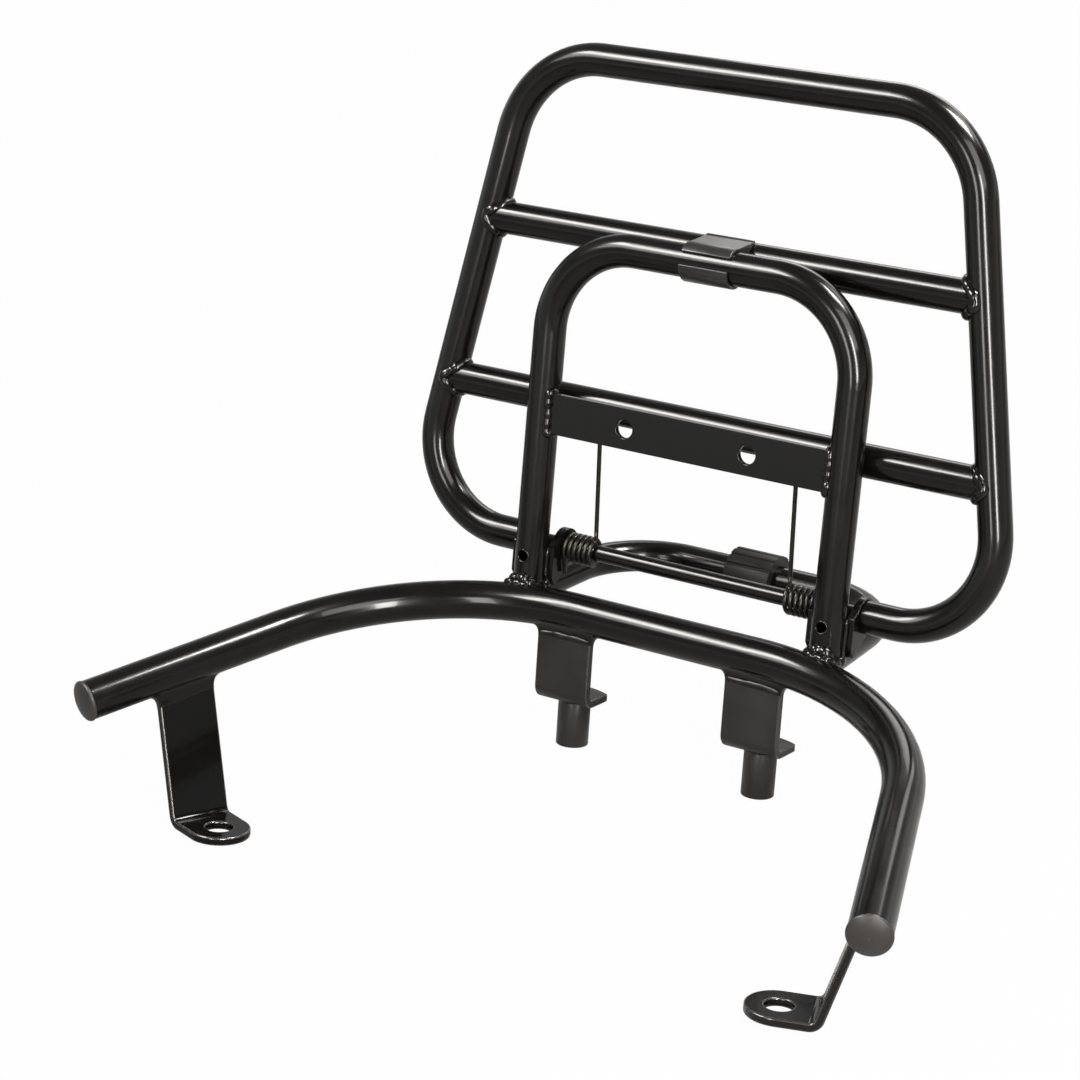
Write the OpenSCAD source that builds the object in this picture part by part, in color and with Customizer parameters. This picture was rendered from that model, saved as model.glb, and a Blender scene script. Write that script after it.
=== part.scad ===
// Folding luggage rack: a horseshoe rail on four feet carries an upright hoop,
// a rear support loop and a sprung platform that folds down behind the hoop.
// X runs to the right, Y to the rear and Z up. The origin is the middle of the
// footprint, on the surface that the rack stands on.

/* [Horseshoe rail] */
// Outer diameter of the rail tube
rail_d = 19; // [17:0.5:22]
// Wall of the rail tube
rail_wall = 2; // [1.5:0.25:3]
// Distance between the two corners of the rail, where its straight lines meet
rail_corner_span = 276; // [260:2:320]
// Length of an arm, from its corner to the open end of the tube
rail_arm = 193; // [180:1:220]
// Centreline radius of the rail's two bends
rail_bend_r = 126; // [100:2:130]
// Height of the rail's centreline above the surface it stands on
rail_height = 72; // [66:1:84]

/* [End caps] */
// Outer diameter of an end cap's head
cap_d = 19.8; // [19:0.2:24]
// Height of the straight edge of the head
cap_edge = 1.6; // [1:0.1:3]
// Height of the dome on the head
cap_dome = 2.6; // [1:0.1:4]
// Length of the plug inside the tube
cap_plug = 14; // [8:1:25]

/* [Frame tubes] */
// Outer diameter of the hoop, loop and platform tubes
tube_d = 16; // [14:0.5:17]
// Wall of those tubes
tube_wall = 1.5; // [1:0.25:2]
// Gap left at a coped or welded joint
weld_gap = 0.05; // [0.02:0.01:0.2]

/* [Hoop] */
// Distance between the centrelines of the hoop's legs
hoop_span = 165; // [150:1:180]
// Length of the hoop, from the rail's level to the centreline of its top
hoop_length = 176; // [168:1:184]
// Angle that the hoop leans back
hoop_lean = 14; // [12:0.5:16]
// Distance of the hoop's legs behind the rail's centreline, at the rail's level
hoop_behind = 11.68; // [9:0.02:14]
// Centreline radius of the hoop's top corners
hoop_bend_r = 44; // [36:1:50]
// Diameter of the vent hole in each leg
vent_d = 6; // [4:0.5:7]
// Height of the vent holes, along the leg
vent_up = 20; // [16:1:26]

/* [Cross plate] */
// Height of the plate between the hoop's legs
plate_h = 20; // [16:1:26]
// Thickness of the plate
plate_t = 3; // [2:0.5:4]
// Height of the plate's middle, along the legs
plate_up = 92; // [86:1:100]
// Distance of the plate's front face ahead of the legs' centreline
plate_front = 5; // [3:0.5:6]
// Distance between the plate's two holes
plate_hole_span = 67; // [50:1:80]
// Diameter of the plate's holes
plate_hole_d = 9; // [6:0.5:12]

/* [Rear loop] */
// Length of the loop, from the rail's centreline to its rear bar
loop_length = 90; // [84:1:96]
// Angle that the loop falls to the rear
loop_fall = 7.5; // [6:0.5:9]
// Height of the loop above the rail's centreline, at the rail
loop_rise = 2.8; // [1:0.2:4]
// Centreline radius of the loop's corners
loop_bend_r = 41; // [34:1:46]

/* [Rest pad] */
// Width of the rubber pad on the loop's rear bar
pad_w = 25; // [18:1:36]
// Thickness of the rubber over the bar
pad_t = 5; // [3:0.5:6]
// Distance that the pad's sides reach below the bar's centre
pad_skirt = 3; // [1:0.5:6]
// Depth of each groove between the ribs on the pad
pad_groove = 0.8; // [0.4:0.1:1.2]
// Number of grooves over the pad's back
pad_grooves = 5; // [3:1:7]

/* [Hinge] */
// Height of the hinge above the rail's centreline
hinge_up = 19.5; // [18:0.5:24]
// Distance from the hoop's plane back to the hinge, square to the plane
hinge_behind = 14.2; // [13.8:0.1:16]
// Diameter of the hinge rod
rod_d = 8; // [6:0.5:9]
// Clearance around the rod in the ears
ear_fit = 0.03; // [0.02:0.01:0.1]
// Clearance around the rod in the turning bushes, on the radius
bush_fit = 0.05; // [0.03:0.01:0.1]
// Thickness of a hinge ear
ear_t = 4; // [3:0.5:5]
// Radius of the rounded end of an ear
ear_r = 9; // [8:0.5:12]
// Reach of an ear, from the hinge to its welded end
ear_reach = 19; // [16:0.5:22]
// Distance of an ear's front edge behind the centreline of the hoop's leg
ear_behind = 1.5; // [0.5:0.1:3]
// Running gap between the outer ear and the platform's tube
side_gap = 0.5; // [0.3:0.1:2]
// Length of the bush in each end of the platform's tube
bush_length = 14; // [8:1:20]
// Straight length of that tube past its bush, before the bend
tube_past_bush = 0.4; // [0.2:0.1:8]
// Angle that the platform folds back from upright until it meets the pad
fold_angle = 82; // [60:0.5:82]

/* [Springs] */
// Diameter of the spring wire
wire_d = 2.2; // [1.5:0.1:2.6]
// Mean diameter of the coil
coil_d = 13; // [12:0.5:15]
// Length of the coil along the rod
coil_length = 15; // [12:0.5:18]
// Number of turns in the coil
coil_turns = 5.25; // [3.25:1:6.25]

/* [Platform] */
// Length from the hinge to the free end's centreline
platform_length = 237; // [225:1:250]
// Angle that the folded-up platform leans back
platform_lean = 15.6; // [15.2:0.1:16.4]
// Centreline radius of the corners at the hinged end
low_bend_r = 44; // [36:1:44]
// Centreline radius of the corners at the free end
high_bend_r = 48; // [40:1:56]
// Distance from the hinge to the lower crossbar
lower_bar = 72.4; // [68:0.2:76]
// Distance from the hinge to the upper crossbar
upper_bar = 155; // [148:1:162]

/* [Retaining clip] */
// Width of the clip along the tubes
clip_w = 26; // [18:1:36]
// Wall of the clip
clip_t = 1.6; // [1:0.1:3]
// Distance of the clip's middle from the rack's middle
clip_side = 3; // [-10:1:10]
// Clearance between the clip and the tube that swings out of it
clip_gap = 0.35; // [0.3:0.05:0.8]
// Angle that the front jaw leaves open
clip_open = 40; // [30:2:80]
// Angle of the rear jaw's edge ahead of the upper crossbar's top
clip_short = 18; // [0:1:40]

/* [Brackets] */
// Width of the flat bar of the four brackets
bar_w = 30; // [24:1:34]
// Thickness of that flat bar
bar_t = 4; // [3:0.5:5]
// Inside radius of a bracket's bend
bar_bend_r = 3; // [2:0.5:5]
// Angle between the faces that are bolted down and the rail's plane
mount_pitch = 12; // [8:0.5:14]
// Distance between the holes in the two side feet
foot_span = 302; // [290:1:320]
// Distance of the side feet ahead of the rail, along the bolted faces
foot_ahead = 143.5; // [136:0.5:150]
// Distance from a foot's hole to the middle of its bend
foot_reach = 18; // [17:0.5:24]
// Diameter of the hole in a side foot
foot_hole_d = 13; // [8:0.5:14]
// Distance between the two rear spacers
spacer_span = 105; // [95:1:112]
// Distance of the rear spacers behind the rail, along the bolted faces
spacer_behind = 9; // [8:0.5:12]
// Distance from the rail down to the underside of a rear bracket's flange
flange_down = 46.5; // [42:0.5:50]
// Reach of a rear flange past its bore
flange_past = 9.5; // [8:0.5:15]
// Radius of a rear flange's end
flange_end_r = 34; // [20:1:60]
// Distance from a spacer's axis forward to the middle of its bracket's plate
rear_plate_ahead = 12.3; // [11.5:0.1:14]
// Outer diameter of a rear spacer
spacer_d = 16; // [14:0.5:18]
// Bore of a rear spacer and of the flange above it
spacer_bore = 8.5; // [6:0.5:10]

/* [Hidden] */
tube_fn = 48;
bend_fn = 180;
$fn = tube_fn;
spare_turn = 3;

// Turns of the rail, of the loop, and slope of the platform's sides. Their sines
// and cosines lose nothing at six digits, so that the pieces of a tube meet.
rail_turn = 69.682;
loop_turn = 87.151;
side_slope = 10.691;

gloss_black = "#1a1817";
satin_black = "#2b2726";
cap_grey = "#4a4749";
rubber_black = "#222222";
spring_black = "#1d1c18";
plastic_grey = "#3c3b3b";

rail_r = rail_d / 2;
tube_r = tube_d / 2;
cope_r = tube_r + weld_gap;
rail_cope_r = rail_r + weld_gap;
rod_r = rod_d / 2;
wire_r = wire_d / 2;
bar_mid_r = bar_bend_r + bar_t / 2;
shank_step = 0.5;
ear_shank_r = ear_r - shank_step;

// How far a tool that cuts right through stands out at each end.
past = 1;

// Bend tangents: the distance from a corner back to the start of its bend.
function setback(r, turn) = r * tan(turn / 2);
rail_setback = setback(rail_bend_r, rail_turn);
loop_setback = setback(loop_bend_r, loop_turn);
high_setback = setback(high_bend_r, 90 - side_slope);
low_setback = setback(low_bend_r, 90 + side_slope);

// Turns a point of the YZ plane about X: a positive angle takes +Z towards +Y.
function leaned(y, z, a) = [0, y * cos(a) + z * sin(a), z * cos(a) - y * sin(a)];

// How far the rail's bend has come forward at a distance from the middle.
rail_straight = rail_corner_span / 2 - rail_setback;
function rail_drop(x) = let (beyond = max(0, x - rail_straight))
    rail_bend_r - sqrt(rail_bend_r * rail_bend_r - beyond * beyond);

// The hinge, and the tube centres that depend on it, in the rail's own frame.
hoop_back = hoop_behind - rail_drop(hoop_span / 2);
hoop_axis = [0, sin(hoop_lean), cos(hoop_lean)];
hoop_normal = [0, cos(hoop_lean), -sin(hoop_lean)];
hoop_at_hinge = hoop_back + hinge_up * tan(hoop_lean);
hinge = [0, hoop_at_hinge + hinge_behind / cos(hoop_lean), hinge_up];
hoop_top = [0, hoop_back, 0] + hoop_axis * hoop_length;
platform_axis = [0, sin(platform_lean), cos(platform_lean)];
upper_bar_at = hinge + platform_axis * upper_bar;
lower_bar_at = hinge + platform_axis * lower_bar;
loop_bar_at = [0, 0, loop_rise] + leaned(loop_length, 0, loop_fall);
ear_inner_x = hoop_span / 2 - tube_r - ear_t;
ear_outer_x = hoop_span / 2 + tube_r;
tube_end_x = ear_outer_x + ear_t + side_gap;

// The loop's arms meet the rail under the hoop's legs, and the platform's tube
// starts beside the outer ears.
loop_corner_span = hoop_span - 2 * loop_length / tan(loop_turn);
platform_low_span = 2 * (tube_end_x + bush_length + tube_past_bush + low_setback);
platform_high_span = platform_low_span - 2 * platform_length * tan(side_slope);
pad_r = tube_r + pad_t;

// The bolted faces: heights in the frame that leans back by mount_pitch.
spacer_r = spacer_d / 2;
bar_r = bar_w / 2;
ground = -rail_height;
spacer_foot = (ground + (spacer_behind + spacer_r) * sin(mount_pitch)) / cos(mount_pitch);
arm_yaw = 90 - rail_turn;
foot_rear = -foot_ahead + bar_r * cos(arm_yaw) + (foot_reach - bar_bend_r) * sin(arm_yaw);
foot_sole = (ground + foot_rear * sin(mount_pitch)) / cos(mount_pitch);

// The rail's arm against a side bracket's middle plane, in the leaned frame.
arm_dir = let (d = [cos(rail_turn), -sin(rail_turn)])
    [d[0], d[1] * cos(mount_pitch), d[1] * sin(mount_pitch)];
width_dir = [-sin(arm_yaw), cos(arm_yaw), 0];
inward_dir = [-cos(arm_yaw), -sin(arm_yaw), 0];
foot_at = [foot_span / 2, -foot_ahead, foot_sole + bar_t];
corner_at = [rail_corner_span / 2, 0, 0];
arm_crossing = corner_at
    + arm_dir * (((foot_at - corner_at) * width_dir) / (arm_dir * width_dir));
leg_in = (arm_crossing - foot_at) * inward_dir;
leg_up = arm_crossing[2] - foot_at[2] + bar_t / 2;

// Where the rail's bend reaches under a rear bracket's outer edge.
rear_edge = spacer_span / 2 + bar_r;
rear_edge_drop = rail_drop(rear_edge);

// The front of the caps and the back of the pad set the middle of the footprint.
cap_r = cap_d / 2;
dome_r = (cap_r * cap_r + cap_dome * cap_dome) / (2 * cap_dome);
cap_tip = rail_arm + cap_edge + cap_dome;
front_y = -(cap_tip - dome_r) * sin(rail_turn) - dome_r;
back_y = max(loop_bar_at[1] + pad_r, hinge[1] + platform_length * sin(platform_lean) + tube_r);
middle_y = (front_y + back_y) / 2;

// Half of a bent tube, from the rack's middle outwards: each step is a straight
// length, then a bend radius and the angle of a bend. A wall of 0 makes it solid.
module half_run(steps, r, wall) {
    for (n = [0 : len(steps) - 1]) {
        straight(steps, n, r, wall);
        if (n < len(steps) - 1) bend(steps, n, r, wall);
    }
}

// Carries its children to the start of step n of a run that bends to the left.
module at_step(steps, n) {
    if (n == 0) children();
    else at_step(steps, n - 1)
        translate([steps[n - 1][0], steps[n - 1][1], 0])
            rotate([0, 0, steps[n - 1][2]])
                translate([0, -steps[n - 1][1], 0]) children();
}

module straight(steps, n, r, wall) {
    at_step(steps, n) rotate([0, 90, 0]) linear_extrude(steps[n][0]) ring(r, wall);
}

// The bend is turned a little too far, then cut where the next step starts.
module bend(steps, n, r, wall) {
    difference() {
        at_step(steps, n) translate([steps[n][0], steps[n][1], 0]) rotate([0, 0, -90])
            rotate_extrude(angle = steps[n][2] + spare_turn, $fn = bend_fn)
                translate([steps[n][1], 0]) ring(r, wall);
        at_step(steps, n + 1) translate([0, -tube_d, -tube_d])
            cube([tube_d, 2 * tube_d, 2 * tube_d]);
    }
}

module ring(r, wall) {
    difference() {
        circle(r = r, $fn = tube_fn);
        if (wall > 0) circle(r = r - wall, $fn = tube_fn);
    }
}

// The two sides of the rack, as a sign on X.
module side(s) {
    if (s > 0) children();
    else mirror([1, 0, 0]) children();
}

// From the rail's frame to the rack's own frame.
module placed() {
    translate([0, -middle_y, rail_height]) children();
}

module in_hoop_plane() {
    translate([0, hoop_back, 0]) rotate([90 - hoop_lean, 0, 0]) children();
}

module in_loop_plane() {
    translate([0, 0, loop_rise]) rotate([-loop_fall, 0, 0]) children();
}

module in_platform_plane() {
    translate(hinge) rotate([90 - platform_lean, 0, 0]) children();
}

module in_mount_frame() {
    rotate([-mount_pitch, 0, 0]) children();
}

// The steps of the four tube frames, each from the middle of its crossing bar.
function to_micron(v) = round(1000 * v) / 1000;

rail_end = [rail_corner_span / 2 + rail_arm * cos(rail_turn), -rail_arm * sin(rail_turn)];
rail_steps = [
    [to_micron(rail_straight), rail_bend_r, rail_turn],
    [to_micron(rail_arm - rail_setback)]
];
hoop_steps = [
    [hoop_span / 2 - hoop_bend_r, hoop_bend_r, 90],
    [hoop_length - hoop_bend_r]
];
loop_steps = [
    [to_micron(loop_corner_span / 2 - loop_setback), loop_bend_r, loop_turn],
    [to_micron(loop_length / sin(loop_turn) - loop_setback)]
];
platform_side_run = platform_length / cos(side_slope) - high_setback - low_setback;
platform_steps = [
    [to_micron(platform_high_span / 2 - high_setback), high_bend_r, 90 - side_slope],
    [to_micron(platform_side_run), low_bend_r, 90 + side_slope],
    [bush_length + tube_past_bush]
];

module half_rail() {
    mirror([0, 1, 0]) children();
}

module half_hoop() {
    in_hoop_plane() translate([0, hoop_length, 0]) mirror([0, 1, 0]) children();
}

module half_loop() {
    in_loop_plane() translate([0, loop_length, 0]) mirror([0, 1, 0]) children();
}

module half_platform() {
    in_platform_plane() translate([0, platform_length, 0]) mirror([0, 1, 0]) children();
}

module both_sides() {
    children();
    mirror([1, 0, 0]) children();
}

module main_rail() {
    color(gloss_black) placed() both_sides() half_rail() half_run(rail_steps, rail_r, rail_wall);
}

// The solids that other pieces are coped to, on the right side.
module rail_bend_space() {
    half_rail() bend(rail_steps, 0, rail_cope_r, 0);
}

module rail_arm_space() {
    half_rail() straight(rail_steps, 1, rail_cope_r, 0);
}

// A straight stand-in for the rail over a rear bracket's width: it runs along
// the chord between the bracket's two edges, so it never cuts short of the rail.
module rail_chord_space() {
    translate([rear_edge - bar_w, 0, 0]) rotate([0, 90, -atan2(rear_edge_drop, bar_w)])
        translate([0, 0, -bar_w]) cylinder(h = 3 * bar_w, r = rail_cope_r);
}

module loop_arm_space() {
    half_loop() straight(loop_steps, 1, cope_r, 0);
}

module hoop_leg_space() {
    half_hoop() straight(hoop_steps, 1, cope_r, 0);
}

module platform_side_space() {
    half_platform() straight(platform_steps, 1, cope_r, 0);
}

// A domed plug in the open end of an arm.
module end_cap(s) {
    plug_r = rail_r - rail_wall - weld_gap;
    color(cap_grey) placed() side(s)
        translate([rail_end[0], rail_end[1], 0])
            rotate([0, 0, -rail_turn]) rotate([0, 90, 0])
                rotate_extrude() {
                    translate([0, -cap_plug]) square([plug_r, cap_plug]);
                    square([cap_r, cap_edge]);
                    intersection() {
                        translate([0, cap_edge + cap_dome - dome_r]) circle(r = dome_r);
                        translate([0, cap_edge]) square([cap_r, cap_dome]);
                    }
                }
}

// A flat bar in section, with the middle of its bend's start at the origin: one
// end runs along +X, the other is turned up by an angle.
module bent_bar(flat, up, turn) {
    reach = 4 * bar_mid_r;
    translate([0, -bar_t / 2]) square([flat - bar_mid_r * tan(turn / 2), bar_t]);
    translate([0, bar_mid_r]) {
        difference() {
            circle(r = bar_mid_r + bar_t / 2);
            circle(r = bar_mid_r - bar_t / 2);
            translate([0, -reach / 2]) square(reach);
            rotate([0, 0, -turn]) translate([-reach, -reach / 2]) square(reach);
        }
        rotate([0, 0, -turn]) translate([bar_mid_r * tan(turn / 2) - up, -bar_mid_r - bar_t / 2])
            square([up - bar_mid_r * tan(turn / 2), bar_t]);
    }
}

// A side bracket: a foot with a hole, and a leg up to the rail's arm.
module side_bracket(s) {
    turn = atan2(leg_up, -leg_in - foot_reach);
    color(satin_black) placed() side(s) difference() {
        in_mount_frame() translate(foot_at) rotate([0, 0, 180 + arm_yaw]) difference() {
            intersection() {
                translate([bar_mid_r * tan(turn / 2) - foot_reach, bar_r, -bar_t / 2])
                    rotate([90, 0, 0]) linear_extrude(bar_w)
                        bent_bar(foot_reach + bar_r, leg_up / sin(turn), turn);
                translate([0, 0, -bar_t]) linear_extrude(leg_up + 2 * bar_t) {
                    circle(r = bar_r);
                    translate([-leg_up - foot_reach, -bar_r]) square([leg_up + foot_reach, bar_w]);
                }
            }
            translate([0, 0, -bar_t - past])
                cylinder(h = bar_t + 2 * past, r = foot_hole_d / 2);
        }
        rail_arm_space();
    }
}

// A rear bracket: a plate down from the rail and a flange over the spacer.
module rear_bracket(s) {
    plate_up_to_rail = flange_down - bar_t / 2;
    color(satin_black) placed() side(s) difference() {
        in_mount_frame() translate([spacer_span / 2, spacer_behind, -flange_down])
            difference() {
                intersection() {
                    translate([-bar_r, bar_mid_r - rear_plate_ahead, bar_t / 2]) rotate([90, 0, 90])
                        linear_extrude(bar_w)
                            bent_bar(rear_plate_ahead + bar_r, plate_up_to_rail, 90);
                    translate([0, flange_past - flange_end_r, 0])
                        cylinder(h = flange_down + bar_t, r = flange_end_r);
                }
                translate([0, 0, -past])
                    cylinder(h = bar_t + 2 * past, r = spacer_bore / 2);
            }
        rail_chord_space();
    }
}

// The tube that stands between a rear flange and the bodywork.
module rear_spacer(s) {
    color(satin_black) placed() side(s) in_mount_frame()
        translate([spacer_span / 2, spacer_behind, spacer_foot]) difference() {
            cylinder(h = -flange_down - spacer_foot, r = spacer_r);
            translate([0, 0, -past]) cylinder(h = rail_height, r = spacer_bore / 2);
        }
}

module hoop() {
    color(gloss_black) placed() difference() {
        both_sides() half_hoop() half_run(hoop_steps, tube_r, tube_wall);
        both_sides() rail_bend_space();
        both_sides() loop_arm_space();
        in_hoop_plane() for (s = [-1, 1])
            translate([s * hoop_span / 2, vent_up, 0]) cylinder(h = tube_d, r = vent_d / 2);
    }
}

module cross_plate() {
    color(gloss_black) placed() difference() {
        in_hoop_plane() translate([0, plate_up, plate_front - plate_t]) difference() {
            translate([-hoop_span / 2, -plate_h / 2, 0]) cube([hoop_span, plate_h, plate_t]);
            for (s = [-1, 1])
                translate([s * plate_hole_span / 2, 0, -past])
                    cylinder(h = plate_t + 2 * past, r = plate_hole_d / 2);
        }
        both_sides() hoop_leg_space();
    }
}

module rear_loop() {
    color(gloss_black) placed() difference() {
        both_sides() half_loop() half_run(loop_steps, tube_r, tube_wall);
        both_sides() rail_bend_space();
    }
}

// A ribbed rubber saddle over the loop's rear bar, open underneath. The grooves
// lie between two angles, up from the bar's rear.
first_groove = 40;
last_groove = 140;
module rest_pad() {
    color(rubber_black) placed() translate(loop_bar_at - [pad_w / 2, 0, 0])
        rotate([-loop_fall, 0, 0]) rotate([90, 0, 90]) linear_extrude(pad_w) difference() {
            circle(r = pad_r);
            circle(r = cope_r);
            translate([-2 * pad_r, -4 * pad_r - pad_skirt]) square(4 * pad_r);
            for (i = [0 : pad_grooves - 1])
                rotate([0, 0, first_groove + i * (last_groove - first_groove) / (pad_grooves - 1)])
                    translate([pad_r, 0]) circle(r = pad_groove, $fn = tube_fn / 2);
        }
}

// A hinge ear in the YZ plane: a round end on the rod and a welded shank.
module ear(s, x) {
    shank = atan2(loop_rise + tube_r - hinge[2], hoop_back - hinge[1]);
    color(gloss_black) placed() side(s) difference() {
        translate([x, hinge[1], hinge[2]]) rotate([90, 0, 90]) linear_extrude(ear_t) difference() {
            union() {
                circle(r = ear_r);
                rotate([0, 0, shank]) translate([0, -ear_shank_r])
                    square([ear_reach, 2 * ear_shank_r]);
            }
            rotate([0, 0, -hoop_lean])
                translate([ear_behind - hinge_behind - ear_reach, -ear_reach])
                    square([ear_reach, 2 * ear_reach]);
        }
        translate([x - past, hinge[1], hinge[2]]) rotate([0, 90, 0])
            cylinder(h = ear_t + 2 * past, r = rod_r + ear_fit);
        rail_bend_space();
        loop_arm_space();
        hoop_leg_space();
    }
}

module hinge_rod() {
    half = tube_end_x + bush_length;
    color(satin_black) placed() translate([-half, hinge[1], hinge[2]])
        rotate([0, 90, 0]) cylinder(h = 2 * half, r = rod_r);
}

module hinge_bush(s) {
    color(satin_black) placed() side(s) translate([tube_end_x, hinge[1], hinge[2]])
        rotate([0, 90, 0]) difference() {
            cylinder(h = bush_length, r = tube_r - tube_wall);
            translate([0, 0, -past])
                cylinder(h = bush_length + 2 * past, r = rod_r + bush_fit);
        }
}

// The spring's path in the hinge's frame: a hook on the loop's arm, the coil
// round the rod, and a long arm up to the lower crossbar.
coil_r = coil_d / 2;
coil_start_x = ear_inner_x - wire_r - side_gap;
coil_steps = 16;
arm_front = coil_start_x - coil_length;
arm_top = (lower_bar_at - hinge) - [0, cos(platform_lean), -sin(platform_lean)] * (tube_r + wire_r + side_gap);
hook_down = hinge_up - loop_rise - tube_r + wire_d;
function coil_point(k) =
    let (a = 180 - 360 * k / coil_steps)
    [coil_start_x - coil_length * k / (coil_steps * coil_turns), coil_r * cos(a), coil_r * sin(a)];
spring_path = concat(
    [[coil_start_x, -coil_r, -hook_down], [coil_start_x, -coil_r, -hook_down / 2]],
    [for (k = [0 : coil_steps * coil_turns]) coil_point(k)]
);

// A wire swept along a list of points, as one closed solid.
module wire(path, r, sides) {
    n = len(path);
    function tangent(i) =
        let (d = path[min(i + 1, n - 1)] - path[max(i - 1, 0)]) d / norm(d);
    function across(t) =
        let (c = cross(t, abs(t[0]) < 0.9 ? [1, 0, 0] : [0, 1, 0])) c / norm(c);
    rings = [for (i = [0 : n - 1])
        let (t = tangent(i), u = across(t), v = cross(t, u))
        for (j = [0 : sides - 1]) path[i] + r * (cos(360 * j / sides) * u + sin(360 * j / sides) * v)];
    walls = [for (i = [0 : n - 2]) for (j = [0 : sides - 1])
        [i * sides + j, i * sides + (j + 1) % sides,
         (i + 1) * sides + (j + 1) % sides, (i + 1) * sides + j]];
    ends = [[for (j = [sides - 1 : -1 : 0]) j], [for (j = [0 : sides - 1]) (n - 1) * sides + j]];
    polyhedron(rings, concat(walls, ends));
}

module spring(s) {
    tip = [arm_front, arm_top[1], arm_top[2]];
    path = concat(spring_path, [tip]);
    color(spring_black) placed() side(s) translate(hinge) wire(path, wire_r, 8);
}

module platform_loop() {
    color(gloss_black) placed() both_sides() half_platform()
        half_run(platform_steps, tube_r, tube_wall);
}

// A straight bar across the platform, coped to the loop's two sides.
module crossbar(up) {
    taper = (platform_low_span - platform_high_span) / platform_length;
    span = platform_low_span - up * taper;
    color(gloss_black) placed() difference() {
        in_platform_plane() translate([-span / 2, up, 0]) rotate([0, 90, 0]) difference() {
            cylinder(h = span, r = tube_r);
            translate([0, 0, -past]) cylinder(h = span + 2 * past, r = tube_r - tube_wall);
        }
        both_sides() platform_side_space();
    }
}

// A plastic clip: a front jaw snapped on the hoop and a rear jaw, open to the
// back, that the upper crossbar swings out of. Its band starts halfway down the
// front jaw and lies a little below the jaws' tops.
band_sink = 0.3;
mouth_facing = 150;
module retaining_clip() {
    reach = upper_bar_at - hoop_top;
    color(plastic_grey) placed() translate([clip_side - clip_w / 2, hoop_top[1], hoop_top[2]])
        rotate([90, 0, 90]) linear_extrude(clip_w) difference() {
            union() {
                circle(r = tube_r + clip_t);
                translate([reach[1], reach[2]]) circle(r = tube_r + clip_gap + clip_t);
                rotate([0, 0, atan2(reach[2], reach[1])])
                    translate([0, -tube_r / 2])
                        square([norm(reach), 1.5 * tube_r + clip_t - band_sink]);
            }
            circle(r = cope_r);
            translate([reach[1], reach[2]]) circle(r = tube_r + clip_gap);
            translate([reach[1], reach[2]]) rotate([0, 0, clip_short - platform_lean])
                translate([0, -2 * tube_d]) square([2 * tube_d, 4 * tube_d]);
            rotate([0, 0, mouth_facing]) polygon([
                [0, 0],
                2 * tube_d * [cos(clip_open / 2), sin(clip_open / 2)],
                2 * tube_d * [cos(clip_open / 2), -sin(clip_open / 2)]
            ]);
        }
}

main_rail();
end_cap(-1);  // end_cap_left
end_cap(1);  // end_cap_right
side_bracket(-1);  // side_bracket_left
side_bracket(1);  // side_bracket_right
rear_bracket(-1);  // rear_bracket_left
rear_bracket(1);  // rear_bracket_right
rear_spacer(-1);  // rear_spacer_left
rear_spacer(1);  // rear_spacer_right
hoop();
cross_plate();
rear_loop();
rest_pad();
ear(-1, ear_inner_x);  // inner_ear_left
ear(1, ear_inner_x);  // inner_ear_right
ear(-1, ear_outer_x);  // outer_ear_left
ear(1, ear_outer_x);  // outer_ear_right
hinge_rod();
hinge_bush(-1);  // hinge_bush_left
hinge_bush(1);  // hinge_bush_right
spring(-1);  // spring_left
spring(1);  // spring_right
platform_loop();
crossbar(lower_bar);  // lower_crossbar
crossbar(upper_bar);  // upper_crossbar
retaining_clip();
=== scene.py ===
import math

import bmesh
import bpy
from mathutils import Matrix, Vector, noise

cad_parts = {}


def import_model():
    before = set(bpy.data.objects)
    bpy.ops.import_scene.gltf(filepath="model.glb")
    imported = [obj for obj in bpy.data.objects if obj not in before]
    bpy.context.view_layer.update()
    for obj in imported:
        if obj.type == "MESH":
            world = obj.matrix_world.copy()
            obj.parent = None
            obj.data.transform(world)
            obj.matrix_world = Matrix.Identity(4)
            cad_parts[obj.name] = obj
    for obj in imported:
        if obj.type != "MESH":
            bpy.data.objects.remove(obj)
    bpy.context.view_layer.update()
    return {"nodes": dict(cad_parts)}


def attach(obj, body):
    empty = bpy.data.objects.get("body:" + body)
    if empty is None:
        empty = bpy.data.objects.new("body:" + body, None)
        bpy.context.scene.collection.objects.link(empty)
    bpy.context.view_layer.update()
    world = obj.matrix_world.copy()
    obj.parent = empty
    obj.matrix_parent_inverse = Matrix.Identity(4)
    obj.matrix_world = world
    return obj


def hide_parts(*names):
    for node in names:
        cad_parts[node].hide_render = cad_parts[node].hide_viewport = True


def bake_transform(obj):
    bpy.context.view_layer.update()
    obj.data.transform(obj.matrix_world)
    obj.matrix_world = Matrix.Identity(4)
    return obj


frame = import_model()
NODES = frame["nodes"]
MM = 0.001
SIDES = (("left", -1), ("right", 1))
# Weld beads wander by noise, which differs from run to run unless it has a seed other than 0.
noise.seed_set(7)

# Sizes of the part's source, in millimetres and degrees. The rail's own frame has X to the right,
# Y to the rear and Z up, with its origin on the centreline of the rail's back.

# Rail
RAIL_R = 9.5
RAIL_BEND_R = 126.0
RAIL_TURN = 69.682
RAIL_CORNER = 138.0
RAIL_STRAIGHT = RAIL_CORNER - RAIL_BEND_R * math.tan(math.radians(RAIL_TURN / 2))
RAIL_HEIGHT = 72.0

# End caps
CAP_R = 9.9
CAP_DOME = 2.6
CAP_TIP = 197.2
DOME_R = (CAP_R ** 2 + CAP_DOME ** 2) / (2 * CAP_DOME)

# Hoop and cross plate
TUBE_R = 8.0
HOOP_X = 82.5
HOOP_BACK = 7.496
HOOP_LEAN = 14.0
VENT_R = 3.0
VENT_UP = 20.0
PLATE_H = 20.0
PLATE_T = 3.0
PLATE_UP = 92.0
PLATE_FRONT = 5.0

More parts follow.
